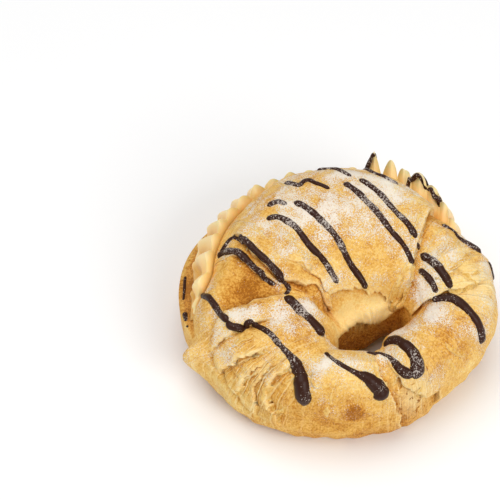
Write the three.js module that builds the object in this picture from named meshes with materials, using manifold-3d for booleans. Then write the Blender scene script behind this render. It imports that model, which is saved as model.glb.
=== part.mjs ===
// A ring-shaped custard croissant: flaky pastry slit round its thick side, piped custard in the slit,
// and chocolate drizzle fused to what it lies on. Millimetres, +Z up, origin under the middle.
import * as THREE from 'three';
import Module from 'manifold-3d';

const wasm = await Module();
wasm.setup();

// Ring of pastry: reach of the outer wall, height of the top and reach of the hole, every 30 degrees round it
const OUTER_REACH = [44, 57, 68, 81, 87, 85, 72.5, 57, 41, 34, 33, 33];
const TOP_HEIGHT = [41, 45, 50, 53, 54.5, 52.5, 48, 42.5, 39, 38, 38.5, 39];
const HOLE_REACH = [9.5, 14.5, 11.5, 9, 8.6, 10, 13.5, 16, 13.5, 9.5, 6.5, 5.8];
const HOLE = { x: 12, y: -20 };
const WAIST_SHARE = 0.45;
const BASE_SINK = 2;
const TOP_ROUND = 2.15;
const BASE_ROUND = 2.3;
const HOLE_BASE_ROUND = [2.3, 2.3, 2.6, 5, 8, 9, 6, 4, 2.3, 2.3, 2.3, 2.3];

// Slit for the custard, in degrees round the ring; its level and opening are degrees over the section
const SLIT = { from: 18, fullFrom: 62, fullTo: 160, to: 185, depth: 30 };
const SLIT_INSET = [8, 8, 8, 8, 8, 10, 9, 8, 8, 8, 8, 8];
const MOUTH_LEVEL = [5, 5, 5, 5, 6, 15, 15, 5, 5, 5, 5, 5];
const MOUTH = { open: 13, closed: 3 };

// Edges of the wraps: degrees round the ring at even steps over the section, starting on the
// outside and going over the top, down the hole side and under the base. "raised" is the higher side.
const EDGES = [
  { name: 'torn_tip', raised: 'after', step: 2.6, over: [-40, 80],
    at: [-42, -67, -80, -84, -85, -75, -60, -42] },
  { name: 'right_horn', raised: 'after', step: 2, over: [50, 165],
    at: [27, 24, 16, 18, 24, 26, 27, 28] },
  { name: 'middle_right', raised: 'after', step: 3.4, over: [22, 160],
    at: [64, 63, 60, 48, 42, 48, 56, 62] },
  { name: 'middle_sheet', raised: 'before', step: 0.9, over: [98, 160],
    at: [138, 138, 138.5, 139, 140, 143, 148, 153, 152, 153.5, 158, 164,
      168, 167, 165, 160, 155, 151, 148, 145, 143, 140, 139, 138] },
  { name: 'middle_left', raised: 'before', step: 2.8, over: [40, 172],
    at: [146, 146, 147, 148, 150, 154, 159.5, 166, 163.5, 159, 166, 172,
      176, 175, 173, 168, 163, 159, 156, 153, 151, 148, 147, 146] },
  { name: 'dent_top', raised: 'before', step: 1.6, over: [45, 110],
    at: [157, 157, 157, 157, 158, 160.5, 165, 170.5, 168, 164, 171, 177,
      181, 180, 178, 174, 170, 167, 164, 162, 160, 158, 157.5, 157] },
  { name: 'dent_foot', raised: 'after', step: 2.6, over: [40, 112],
    at: [184, 185, 186, 186, 183, 180, 177, 174, 172, 169, 176, 182,
      186, 187, 187, 187, 187, 186, 186, 185, 185, 184, 184, 184] },
  { name: 'left_ridge', raised: 'before', step: 2, over: [28, 100],
    at: [189, 191.5, 190, 189, 200, 198, 192, 190] },
  { name: 'left_plate', raised: 'before', step: 2.6, over: [5, 85],
    at: [195, 200, 205, 205, 212, 208, 200, 196] },
  { name: 'left_layer', raised: 'before', step: 1.2, over: [-20, 75],
    at: [205, 206, 209, 210, 216, 212, 206, 204] },
  { name: 'thin_layer', raised: 'before', step: 1, over: [-30, 80],
    at: [213, 210, 213, 215, 220, 217, 213, 212] },
  { name: 'left_horn', raised: 'before', step: 2.6, over: [-30, 95],
    at: [221, 215, 218, 222, 226, 224, 222, 222] },
  { name: 'tip_seam', raised: 'before', step: 3, over: [-50, 110],
    at: [285, 280, 269, 266, 264, 272, 284, 288] },
];
const EDGE_FADE = 22;
const EDGE_HALF_WIDTH = 0.5;
const LIP_FADE = 16;
const BARREL = { rise: 2, span: 40 };
const COLUMN_PITCH = 7;
const MIN_BAND_COLUMNS = 2;

// Inner rim of the middle wrap over the hole: degrees round, degrees over
const RIM = [
  [44, 140], [47, 143], [51, 156], [60, 158], [70, 157], [79, 153], [88, 153], [101, 156], [107, 152], [113, 151],
  [131, 148], [144, 146], [152, 141], [160, 142], [166, 148], [172, 156],
];
const RIM_OVER = 151;
const RIM_STEP = 2.6;

// Fold of dough on the back wall of the hole: degrees round, then where it starts and ends in degrees over
const FOLD = [
  [8, 146, 147], [25, 152, 153], [40, 156, 157], [50, 157, 168], [58, 158, 176], [73, 160, 181], [92, 163, 179],
  [120, 165, 178], [141, 167, 177], [158, 168, 176], [178, 170, 174], [190, 172, 173],
];
const FOLD_BULGE = 3.2;
const FOLD_DROP = 1.2;

// Seam between top and base where the slit has closed: degrees round, degrees over, depth in mm
const SEAM = [[189, 24, 0], [193, 22, 1.8], [198, 10, 1.8], [201, 4, 1.8], [207, -8, 1.4], [222, -18, 0]];
const SEAM_WIDTH = 3.5;

// Hollows and swellings: degrees round, degrees over, reach each way in degrees, depth in mm
const RELIEF = [
  [173, 76, 11, 20, -5],
  [170, 142, 8, 18, -3],
  [208, 30, 7, 30, -1.8],
  [222, 72, 8, 22, -1.2],
  [300, 20, 12, 24, -2],
  [40, 62, 12, 20, -1.2],
  [31, 40, 8, 16, 1.6],
  [8, 70, 16, 40, 1.2],
  [250, 60, 18, 40, 1],
  [188.5, 8, 3.2, 14, 7.5],
];

// Rows over the section; those under the rim stand closer towards it
const ROWS = { face: 4, top: 14, under: 16 };
const UNDER_CROWD = 1.5;

// Custard piped along the slit, one row a ridge: degrees round, height of its crest over the lip,
// bulge outwards, and how blunt it is
const RIDGES = [
  [44, 0, 0, 2], [50, 0, 1, 2], [54.5, 4, 3, 4], [59, 8.5, 5, 5], [64.5, 12.5, 6.5, 5.5],
  [71.5, 15.5, 5.5, 5.5], [77, 12, 4, 5], [81.6, 14.5, 4, 2.4], [87.5, 16.5, 3.5, 1.2], [95, 4, 3, 2],
  [101, 3, 3, 2.5], [107, 3, 3, 2.5], [113, 4, 3, 2.5], [119, 3, 3, 2.5], [125, 4.5, 3, 2.5], [131, 3, 3, 2.5],
  [137, 2.5, 2.5, 2.5], [143, 4, 2, 2.5], [149, 2.5, 2, 2.5], [157, 4, 2, 2.5], [167.5, 5.5, 2, 2.2],
  [173, 1.5, 1, 2.5], [175.2, 0, 0, 2.5],
];
const CUSTARD = { gap: 0.9, lean: 2, ridge: 3.6, merge: 0.15, setIn: 0.14, faceEnd: 0.7, shelf: 0.3 };
const CUSTARD_ROWS = { face: 3, outer: 7 };
// By the closing end of the slit the custard is set in further and folds into a ribbon along the lip
const RIBBON = { from: 150, span: 14, depth: 2.2, setIn: 0.08 };
const RIDGE_STEPS = 4;

// Chocolate: width at the start and at the end, then the line as degrees round and over (round, over, ...)
const PASTRY_DRIZZLE = [
  [3, 2.8, 126, 84, 124, 90, 122, 100, 120, 110, 119, 118, 118, 134, 106, 150],
  [2.8, 3, 139, 80, 136, 84, 135, 90, 135, 97, 138, 110, 139, 124, 143, 138],
  [3, 2.5, 102, 80, 97, 87, 91, 95, 79, 107, 65, 113, 52, 120],
  [2.8, 2.8, 95, 76, 86, 86, 77, 94, 67, 98, 60, 102],
  [3.6, 3.4, 53, 108, 44, 106, 36, 104, 29, 102, 17, 94],
  [3, 2.8, 47, 120, 34, 117, 26, 114, 18, 110],
  [4.2, 4, 16, 113, 12, 93, 7, 79, 3, 67, -3, 45, -7, 22],
  [1.6, 4.2, 256, 114, 268, 110, 279, 99, 285, 84, 289, 66, 296, 51],
  [4.6, 6.2, 284, 119, 296, 122, 303, 110, 305, 94, 306, 84, 305, 68, 302, 57, 296, 49],
  [1.8, 6.8, 224, 103, 231, 93, 237, 86, 244, 80, 250, 75, 256, 70, 261, 66, 266, 58, 270, 49, 272, 39, 273, 32],
  [2.4, 7, 190, 77, 196, 82, 203, 83, 211, 81, 218, 74, 225, 56, 229, 39, 231, 25],
  [2.8, 3, 170, 37, 172, 42, 174, 48, 178, 52, 181, 53, 185, 57, 187.5, 59],
  [3.2, 2.2, 187, 59, 188.5, 57.5, 190, 60, 190.5, 67, 189.5, 72, 190, 77],
  [4.2, 4.6, 177, 104, 179, 109, 184, 114, 188, 120, 193, 124, 199, 128, 204, 134],
  [2.4, 2.8, 155, 55, 152, 60, 149.5, 64, 150, 71, 153, 79, 156, 86, 159.5, 94, 164, 101, 167, 107],
  [2.4, 2, 166, 105, 168, 108, 171, 108.5, 175, 105],
  [3.2, 2.6, 156, 52, 155, 59, 155.5, 66, 157, 74, 159.5, 81, 164, 90, 168, 99],
  [2.6, 2.4, 134, 74, 132, 76, 130, 78, 129, 83],
  [2.8, 2.2, 121, 62, 119, 74, 117, 72, 114, 71, 113, 76, 111, 80, 109, 84],
  [2.6, 2.2, 108, 56, 104, 61, 102, 64, 100, 70, 98, 74],
  [2.4, 2.6, 92, 50, 90, 56, 88, 62, 83, 68, 79, 70],
  [2, 3.6, 55, 72, 52, 70, 48.5, 64, 45.5, 67, 41.5, 59, 38, 52, 35, 47],
  [1.8, 2, 31, 42, 29, 36, 28, 28, 28, 20],
];

// Chocolate on the custard: widths, then the line as degrees round and mm out from the lip (round, out, ...)
const CUSTARD_DRIZZLE = [
  [2, 1.4, 92, 1.2, 90.5, 2, 89, 3, 87.8, 4],
  [2, 2.2, 77, 1.4, 75, 2.2, 73, 3.2, 71, 3.8, 69.5, 3.4, 69, 2],
  [2, 2.4, 69.6, 3, 67.5, 2.6, 65, 2.6, 62, 2.4],
];
const DRIZZLE_STEP = 4;
const DRIZZLE_SIDES = 6;
const DRIZZLE_SINK = 0.3;
const CAST_FROM = 16;

const rad = THREE.MathUtils.degToRad;
const smooth = (x) => THREE.MathUtils.smoothstep(x, 0, 1);
const signedPower = (x, power) => Math.sign(x) * Math.abs(x) ** power;

// Closed smooth curve through evenly spaced values, read at an angle in degrees
function loop(degrees, values) {
  const n = values.length;
  const place = (THREE.MathUtils.euclideanModulo(degrees, 360) / 360) * n;
  const i = Math.floor(place);
  const f = place - i;
  const [a, b, c, d] = [-1, 0, 1, 2].map((k) => values[(i + k + n) % n]);
  return b + 0.5 * f * (c - a + f * (2 * a - 5 * b + 4 * c - d + f * (3 * (b - c) + d - a)));
}

// Straight lines through rows of [degrees round, value, value ...], read at an angle: the values there
function between(round, rows) {
  const turn = THREE.MathUtils.euclideanModulo(round, 360);
  const i = Math.max(1, Math.min(rows.length - 1, rows.findIndex((row) => row[0] >= turn)));
  const [low, high] = [rows[i - 1], rows[i]];
  const share = THREE.MathUtils.clamp((turn - low[0]) / (high[0] - low[0]), 0, 1);
  return low.slice(1).map((value, k) => THREE.MathUtils.lerp(value, high[k + 1], share));
}

// Degrees over the section counted from -120 under the base to 240
const halfTurn = (over) => (over > 240 ? over - 360 : over);

// Plain section of the ring: distance from the hole's centre and height
function wall(round, over) {
  const reach = loop(round, OUTER_REACH);
  const height = loop(round, TOP_HEIGHT);
  const inner = loop(round, HOLE_REACH);
  const waist = WAIST_SHARE * height;
  const across = Math.cos(rad(over));
  const up = Math.sin(rad(over));
  const baseRound = across < 0 ? loop(round, HOLE_BASE_ROUND) : BASE_ROUND;
  const power = 2 / (up > 0 ? TOP_ROUND : baseRound);
  const rise = up > 0 ? height - waist : waist + BASE_SINK;
  const r = (inner + reach) / 2 + ((reach - inner) / 2) * signedPower(across, power);
  return [r, waist + rise * signedPower(up, power)];
}

// How far the slit is open here, 0 to 1
function slitOpen(round) {
  const turn = THREE.MathUtils.euclideanModulo(round, 360);
  const start = smooth((turn - SLIT.from) / (SLIT.fullFrom - SLIT.from));
  const end = smooth((SLIT.to - turn) / (SLIT.to - SLIT.fullTo));
  return start * end;
}

const mouthLevel = (round) => loop(round, MOUTH_LEVEL);
const mouthHalf = (round) => MOUTH.closed + MOUTH.open * slitOpen(round);

// Point on a cut face of the slit: side 1 is the upper face, deep runs from 0 at the lip to 1 inside
function cutFace(round, side, deep) {
  const [r, z] = wall(round, mouthLevel(round) + side * mouthHalf(round) * (1 - deep));
  const inset = side > 0 ? loop(round, SLIT_INSET) * (1 - deep) : 0;
  return [r - slitOpen(round) * (SLIT.depth * deep + inset), z];
}

function ringPoint(round, r, z) {
  const turn = rad(round);
  return new THREE.Vector3(HOLE.x + r * Math.cos(turn), HOLE.y + r * Math.sin(turn), Math.max(z, 0));
}

// Plain section with the direction square to it: distance, height and the two parts of the direction
function outward(round, over) {
  const [r0, z0] = wall(round, over);
  const [r1, z1] = wall(round, over + 1);
  const length = Math.hypot(r1 - r0, z1 - z0);
  return [r0, z0, (z1 - z0) / length, -(r1 - r0) / length];
}

const edgeAngle = (edge, over) => loop(over, edge.at);

function edgeStep(edge, over) {
  const turn = halfTurn(over);
  const [from, to] = edge.over;
  return edge.step * smooth((turn - from) / EDGE_FADE) * smooth((to - turn) / EDGE_FADE);
}

// Relief of one wrap, along it from 0 to 1 between its two edges, so many degrees apart
function wrapRelief(first, last, width, along, over) {
  const start = (first.raised === 'after' ? 0.5 : -0.5) * edgeStep(first, over);
  const end = (last.raised === 'before' ? 0.5 : -0.5) * edgeStep(last, over);
  const top = smooth((Math.sin(rad(over)) + 0.3) / 0.6);
  const belly = BARREL.rise * Math.min(width / BARREL.span, 1) * (1 - (2 * along - 1) ** 2) * top;
  return start * (1 - along) + end * along + belly;
}

// Fold in the hole, standing out over the wall below it
function foldRelief(round, over) {
  const [top, foot] = between(round, FOLD);
  const along = smooth((round - FOLD[0][0]) / 10) * smooth((FOLD.at(-1)[0] - round) / 12);
  const onFold = smooth((over - top + 4) / 8) * smooth((foot + 0.5 - over) / 1.5) * smooth((foot - top) / 8);
  const below = smooth((over - foot) / 1.5) * smooth((255 - over) / 30);
  return along * (FOLD_BULGE * onFold - FOLD_DROP * below);
}

function seamRelief(round, over) {
  const [level, depth] = between(round, SEAM);
  return -depth * Math.exp(-(((halfTurn(over) - level) / SEAM_WIDTH) ** 2));
}

function pressedRelief(round, over) {
  let sum = foldRelief(THREE.MathUtils.euclideanModulo(round, 360), over) + seamRelief(round, over);
  for (const [atRound, atOver, wide, tall, depth] of RELIEF) {
    const dr = THREE.MathUtils.euclideanModulo(round - atRound + 180, 360) - 180;
    sum += depth * Math.exp(-((dr / wide) ** 2) - ((halfTurn(over) - atOver) / tall) ** 2);
  }
  return sum;
}

// How much a place lies in the middle wrap, above or below its inner rim
function inMiddleWrap(round) {
  const turn = THREE.MathUtils.euclideanModulo(round, 360);
  return smooth((turn - RIM[0][0]) / 6) * smooth((RIM.at(-1)[0] - turn) / 10);
}

// Rows over the section at one place: where each sits and how much relief it carries
function sectionRows(round) {
  const level = mouthLevel(round);
  const half = mouthHalf(round);
  const topStart = level + half;
  const underEnd = 360 + level - half;
  const rim = THREE.MathUtils.lerp(RIM_OVER, between(round, RIM)[0], inMiddleWrap(round));
  const rows = [];
  for (let i = 0; i < ROWS.face; i++) {
    const deep = 1 - i / ROWS.face;
    rows.push({ face: 1, deep, over: level + half * (1 - deep), rim: 0 });
  }
  for (let i = 0; i <= ROWS.top; i++) {
    const over = THREE.MathUtils.lerp(topStart, rim - 1, i / ROWS.top);
    rows.push({ over, lip: smooth((90 - over) / (90 - topStart)), rim: 0 });
  }
  for (let i = 0; i <= ROWS.under; i++) {
    const over = THREE.MathUtils.lerp(rim + 1, underEnd, (i / ROWS.under) ** UNDER_CROWD);
    rows.push({ over, lip: 0, rim: smooth((205 - over) / 50) });
  }
  for (let i = 1; i < ROWS.face; i++) {
    const deep = i / ROWS.face;
    rows.push({ face: -1, deep, over: 360 + level - half * (1 - deep), rim: 0 });
  }
  return rows;
}

// Relief stands square to the plain section, and dies out at the lips of the open slit
function rowPoint(round, row, relief) {
  const open = slitOpen(round);
  const level = mouthLevel(round);
  const half = mouthHalf(round);
  const [r0, z0, outR, outZ] = outward(round, row.over);
  const fromLip = row.face ? 0 : Math.min(row.over - level - half, 360 + level - half - row.over);
  const amount = (relief + pressedRelief(round, row.over)) * smooth(fromLip / LIP_FADE + 1 - open);
  const out = amount - RIM_STEP * row.rim * inMiddleWrap(round);
  const inset = loop(round, SLIT_INSET) * open;
  const [r, z] = row.face ? cutFace(round, row.face, row.deep) : [r0 - inset * row.lip, z0];
  return ringPoint(round, r + out * outR, z + out * outZ);
}

// Solid from rings of points: each ring joins the next, and the last joins the first or both get caps
function loft(rings, closed) {
  const n = rings[0].length;
  const points = rings.flat();
  const index = [];
  const spans = closed ? rings.length : rings.length - 1;
  for (let j = 0; j < spans; j++) {
    const a = j * n;
    const b = ((j + 1) % rings.length) * n;
    for (let i = 0; i < n; i++) {
      const k = (i + 1) % n;
      index.push(a + i, b + i, b + k, a + i, b + k, a + k);
    }
  }
  if (!closed) {
    for (const [ring, flip] of [[0, false], [rings.length - 1, true]]) {
      const middle = new THREE.Vector3();
      for (const point of rings[ring]) middle.addScaledVector(point, 1 / n);
      const centre = points.push(middle) - 1;
      for (let i = 0; i < n; i++) {
        const a = ring * n + i;
        const b = ring * n + ((i + 1) % n);
        index.push(centre, flip ? b : a, flip ? a : b);
      }
    }
  }
  const geometry = new THREE.BufferGeometry().setFromPoints(points);
  geometry.setIndex(index);
  return geometry;
}

function pastryGeometry() {
  const sample = sectionRows(90);
  const rings = [];
  EDGES.forEach((first, k) => {
    const last = EDGES[(k + 1) % EDGES.length];
    const wrap = k + 1 < EDGES.length ? 0 : 360;
    const width = edgeAngle(last, 60) + wrap - edgeAngle(first, 60);
    const columns = Math.max(MIN_BAND_COLUMNS, Math.round(width / COLUMN_PITCH));
    for (let j = 0; j <= columns; j++) {
      const along = j / columns;
      rings.push(sample.map((row, i) => {
        const start = edgeAngle(first, row.over) + EDGE_HALF_WIDTH;
        const end = edgeAngle(last, row.over) + wrap - EDGE_HALF_WIDTH;
        const round = THREE.MathUtils.lerp(start, end, along);
        const here = sectionRows(round)[i];
        return rowPoint(round, here, wrapRelief(first, last, end - start, along, here.over));
      }));
    }
  });
  return loft(rings, true);
}

// One section of the custard; a whole phase is on the crest of a ridge
function custardRing(phase, fade) {
  const number = Math.min(Math.floor(phase), RIDGES.length - 2);
  const share = phase - number;
  const [round, height, bulge, blunt] = RIDGES[number].map(
    (value, k) => THREE.MathUtils.lerp(value, RIDGES[number + 1][k], share));
  const offCrest = 2 * Math.abs(phase - Math.round(phase));
  const peak = height * (1 - (1 - CUSTARD.merge * blunt) * offCrest ** blunt);
  const crest = 1 - Math.sin((Math.PI / 2) * offCrest) ** (0.4 + 0.6 * blunt);
  const open = slitOpen(round);
  const ribbon = smooth((round - RIBBON.from) / RIBBON.span);
  const setIn = CUSTARD.setIn + RIBBON.setIn * ribbon;
  const ring = [];
  for (let i = 0; i < CUSTARD_ROWS.face; i++) {
    const [r, z] = cutFace(round, -1, CUSTARD.faceEnd * (1 - i / CUSTARD_ROWS.face) + setIn);
    ring.push(ringPoint(round, r, z + CUSTARD.gap));
  }
  for (let i = 0; i <= CUSTARD_ROWS.outer; i++) {
    const up = i / CUSTARD_ROWS.outer;
    const turn = round + CUSTARD.lean * (up - 0.5) * fade;
    const [lowR, lowZ] = cutFace(turn, -1, setIn);
    const [highR, highZ] = cutFace(turn, 1, 0);
    const rounded = 0.4 + 0.6 * smooth((1 - up) / 0.4);
    const piped = smooth((up - CUSTARD.shelf) / 0.25) * rounded * fade * open;
    const lift = peak * smooth((up - 0.4) / 0.6) * fade * open;
    const swell = Math.sin(Math.PI * Math.min(up * 1.1, 1)) * bulge * open;
    const folded = 0.6 * Math.exp(-(((up - 0.85) / 0.12) ** 2)) - Math.exp(-(((up - 0.6) / 0.1) ** 2));
    const out = swell + CUSTARD.ridge * (crest - 0.35) * piped + RIBBON.depth * ribbon * folded * open;
    const r = THREE.MathUtils.lerp(lowR, highR + 2.4 * open, up) + out;
    const z = THREE.MathUtils.lerp(lowZ + CUSTARD.gap, highZ - CUSTARD.gap + 1.5 * open, up) + lift;
    ring.push(ringPoint(turn, r, z));
  }
  const [lipR, lipZ] = cutFace(round, 1, 0);
  ring.push(ringPoint(round, lipR + CUSTARD.gap, lipZ - 1.6 * CUSTARD.gap));
  for (let i = 0; i < CUSTARD_ROWS.face; i++) {
    const [r, z] = cutFace(round, 1, CUSTARD.faceEnd * (i / CUSTARD_ROWS.face) + 0.1);
    ring.push(ringPoint(round, r, z - CUSTARD.gap));
  }
  return ring;
}

function custardGeometry() {
  const rings = [];
  const count = (RIDGES.length - 1) * RIDGE_STEPS;
  for (let j = 0; j <= count; j++) {
    const fade = smooth(Math.min(j, count - j) / (2 * RIDGE_STEPS));
    rings.push(custardRing(j / RIDGE_STEPS, fade));
  }
  return loft(rings, false);
}

// Where a line of chocolate on the crust starts from: a point outside it and the direction outwards
function overCrust(round, over) {
  const [r, z, outR, outZ] = outward(round, over);
  const turn = rad(round);
  const out = new THREE.Vector3(outR * Math.cos(turn), outR * Math.sin(turn), outZ);
  const start = new THREE.Vector3(HOLE.x + r * Math.cos(turn), HOLE.y + r * Math.sin(turn), z);
  return [start.addScaledVector(out, CAST_FROM), out];
}

// The same on the custard: straight above a point so far out from the lip
function overCustard(round, away) {
  const [lipR, lipZ] = cutFace(round, 1, 0);
  return [ringPoint(round, lipR + away, lipZ + 2 * CAST_FROM), new THREE.Vector3(0, 0, 1)];
}

// Line of chocolate laid on a surface, thickening to its end, with rounded ends
function drizzleGeometry(stripe, surface, above) {
  const [startWidth, endWidth, ...numbers] = stripe;
  const marks = [];
  for (let i = 0; i < numbers.length; i += 2) marks.push(new THREE.Vector2(numbers[i], numbers[i + 1]));
  const caster = new THREE.Raycaster();
  const laid = [];
  const outs = [];
  for (const mark of new THREE.SplineCurve(marks).getPoints(6 * marks.length)) {
    const [start, out] = above(mark.x, mark.y);
    caster.set(start, out.clone().negate());
    const hit = caster.intersectObject(surface)[0];
    if (!hit) continue;
    laid.push(hit.point);
    outs.push(out);
  }
  const line = new THREE.CatmullRomCurve3(laid);
  const steps = Math.max(3, Math.round(line.getLength() / DRIZZLE_STEP));
  const rings = [];
  for (let j = 0; j <= steps; j++) {
    const along = j / steps;
    const centre = line.getPointAt(along);
    const forward = line.getTangentAt(along);
    const out = outs[Math.round(line.getUtoTmapping(along) * (outs.length - 1))];
    const side = out.clone().cross(forward).normalize();
    const lift = forward.clone().cross(side).normalize();
    const width = THREE.MathUtils.lerp(startWidth, endWidth, smooth((along - 0.35) / 0.5));
    const radius = (width / 2) * (j === 0 || j === steps ? 0.45 : 1);
    const ring = [];
    for (let i = 0; i < DRIZZLE_SIDES; i++) {
      const turn = (2 * Math.PI * i) / DRIZZLE_SIDES;
      ring.push(centre.clone()
        .addScaledVector(side, -radius * Math.cos(turn))
        .addScaledVector(lift, radius * (Math.sin(turn) - DRIZZLE_SINK)));
    }
    rings.push(ring);
  }
  return loft(rings, false);
}

function toSolid(geometry) {
  const vertProperties = Float32Array.from(geometry.attributes.position.array);
  const triVerts = Uint32Array.from(geometry.index.array);
  return new wasm.Manifold(new wasm.Mesh({ numProp: 3, vertProperties, triVerts }));
}

function toGeometry(solid) {
  const mesh = solid.getMesh();
  const geometry = new THREE.BufferGeometry();
  geometry.setAttribute('position', new THREE.BufferAttribute(mesh.vertProperties, 3));
  geometry.setIndex(new THREE.BufferAttribute(mesh.triVerts, 1));
  return geometry;
}

function withDrizzle(geometry, stripes, above) {
  const surface = new THREE.Mesh(geometry, new THREE.MeshBasicMaterial({ side: THREE.DoubleSide }));
  let solid = toSolid(geometry);
  for (const stripe of stripes) solid = solid.add(toSolid(drizzleGeometry(stripe, surface, above)));
  return toGeometry(solid.simplify(0.01));
}

const crust = new THREE.MeshStandardMaterial({ color: 0xdfa95f, roughness: 0.65, metalness: 0 });
const cream = new THREE.MeshStandardMaterial({ color: 0xf2dca6, roughness: 0.45, metalness: 0 });

const pastry = new THREE.Mesh(withDrizzle(pastryGeometry(), PASTRY_DRIZZLE, overCrust), crust);
pastry.name = 'pastry';
const custard = new THREE.Mesh(withDrizzle(custardGeometry(), CUSTARD_DRIZZLE, overCustard), cream);
custard.name = 'custard';

// The origin sits on the floor under the middle of the whole
const croissant = new THREE.Group();
croissant.add(pastry, custard);
const box = new THREE.Box3().setFromObject(croissant);
const middle = box.getCenter(new THREE.Vector3());
for (const mesh of croissant.children) mesh.position.set(-middle.x, -middle.y, -box.min.z);

export default croissant;
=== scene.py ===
"""Ring-shaped custard croissant: flaky pastry, piped custard, chocolate drizzle and icing sugar."""
import math
from collections import namedtuple

import bmesh
import bpy
import numpy as np
from mathutils import Matrix, Vector
from mathutils.bvhtree import BVHTree


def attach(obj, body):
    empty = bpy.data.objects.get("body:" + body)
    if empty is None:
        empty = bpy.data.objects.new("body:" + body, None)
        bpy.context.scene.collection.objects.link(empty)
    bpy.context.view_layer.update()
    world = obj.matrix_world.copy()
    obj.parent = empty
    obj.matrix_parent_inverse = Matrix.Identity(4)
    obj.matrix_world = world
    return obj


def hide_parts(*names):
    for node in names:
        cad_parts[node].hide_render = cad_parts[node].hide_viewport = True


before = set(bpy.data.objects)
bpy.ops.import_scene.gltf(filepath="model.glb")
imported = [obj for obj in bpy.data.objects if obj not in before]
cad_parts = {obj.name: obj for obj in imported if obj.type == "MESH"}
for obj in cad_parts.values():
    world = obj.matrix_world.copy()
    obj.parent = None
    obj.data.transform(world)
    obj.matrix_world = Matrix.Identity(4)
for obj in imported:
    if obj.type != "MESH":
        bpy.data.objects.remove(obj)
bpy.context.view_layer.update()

MM = 0.001
# The ring is worked out about its own origin; this moves it to the frame's origin, in mm
RING_PLACE = np.array([1.406, -2.331, 0.0])

# Ring of pastry: reach of the outer wall and height of the top, every 30 degrees round the hole
OUTER_REACH = [44, 57, 68, 81, 87, 85, 72.5, 57, 41, 34, 33, 33]
TOP_HEIGHT = [41, 45, 50, 53, 54.5, 52.5, 48, 42.5, 39, 38, 38.5, 39]
HOLE_X, HOLE_Y = 12.0, -20.0
HOLE_REACH = [9.5, 14.5, 11.5, 9, 8.6, 10, 13.5, 16, 13.5, 9.5, 6.5, 5.8]
WAIST_SHARE = 0.45
BASE_SINK = 2.0
TOP_ROUND = 2.15
BASE_ROUND = 2.3
HOLE_BASE_ROUND = [2.3, 2.3, 2.6, 5, 8, 9, 6, 4, 2.3, 2.3, 2.3, 2.3]

# Slit for the custard, in degrees round the ring; its level and opening are degrees over the section
SLIT_FROM, SLIT_FULL_FROM, SLIT_FULL_TO, SLIT_TO = 18.0, 62.0, 160.0, 185.0
SLIT_DEPTH = 30.0
SLIT_INSET = [8, 8, 8, 8, 8, 10, 9, 8, 8, 8, 8, 8]
MOUTH_LEVEL = [5, 5, 5, 5, 6, 15, 15, 5, 5, 5, 5, 5]
MOUTH_OPEN, MOUTH_CLOSED = 13.0, 3.0
LIP_FADE = 16.0

# Edges of the wraps: name, raised side, step in mm, where over the section it shows, ragged reach in mm,
# then degrees round the ring at even steps over the section, from the outside over the top
Edge = namedtuple("Edge", "name raised step shown ragged line")
EDGES = [
    Edge("torn_tip", "after", 2.6, (-40, 80), 0.8, [-42, -67, -80, -84, -85, -75, -60, -42]),
    Edge("right_horn", "after", 2.0, (50, 165), 0.5, [27, 24, 16, 18, 24, 26, 27, 28]),
    Edge("middle_right", "after", 3.4, (22, 160), 0.5, [64, 63, 60, 48, 42, 48, 56, 62]),
    Edge("middle_sheet", "before", 0.9, (98, 160), 0.8, [
        138, 138, 138.5, 139, 140, 143, 148, 153, 152, 153.5, 158, 164,
        168, 167, 165, 160, 155, 151, 148, 145, 143, 140, 139, 138]),
    Edge("middle_left", "before", 2.8, (40, 172), 0.9, [
        146, 146, 147, 148, 150, 154, 159.5, 166, 163.5, 159, 166, 172,
        176, 175, 173, 168, 163, 159, 156, 153, 151, 148, 147, 146]),
    Edge("dent_top", "before", 1.6, (45, 110), 0.9, [
        157, 157, 157, 157, 158, 160.5, 165, 170.5, 168, 164, 171, 177,
        181, 180, 178, 174, 170, 167, 164, 162, 160, 158, 157.5, 157]),
    Edge("dent_foot", "after", 2.6, (40, 112), 0.8, [
        184, 185, 186, 186, 183, 180, 177, 174, 172, 169, 176, 182,
        186, 187, 187, 187, 187, 186, 186, 185, 185, 184, 184, 184]),
    Edge("left_ridge", "before", 2.0, (28, 100), 0.8, [189, 191.5, 190, 189, 200, 198, 192, 190]),
    Edge("left_plate", "before", 2.6, (5, 85), 1.2, [195, 200, 205, 205, 212, 208, 200, 196]),
    Edge("left_layer", "before", 1.2, (-20, 75), 1.0, [205, 206, 209, 210, 216, 212, 206, 204]),
    Edge("thin_layer", "before", 1.0, (-30, 80), 0.9, [213, 210, 213, 215, 220, 217, 213, 212]),
    Edge("left_horn", "before", 2.6, (-30, 95), 1.2, [221, 215, 218, 222, 226, 224, 222, 222]),
    Edge("tip_seam", "before", 3.0, (-50, 110), 0.6, [285, 280, 269, 266, 264, 272, 284, 288]),
]
EDGE_FADE = 22.0
LEAST_REACH = 12.0
EDGE_HALF_WIDTH = 0.5
LIP_THICKNESS = 0.6
LIP_UNDERCUT = 1.6
LIP_CURL = 0.4
FOOT_DIP, FOOT_REACH = 1.3, 5.0
BARREL, BARREL_SPAN = 2.0, 40.0

# Fold of dough on the back wall of the hole: degrees round, then where it starts and ends in degrees over
FOLD = [
    (8, 146, 147), (25, 152, 153), (40, 156, 157), (50, 157, 168), (58, 158, 176), (73, 160, 181),
    (92, 163, 179), (120, 165, 178), (141, 167, 177), (158, 168, 176), (178, 170, 174), (190, 172, 173),
]
FOLD_BULGE, FOLD_DROP, FOLD_CRINKLE = 3.2, 1.2, 0.9

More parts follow.
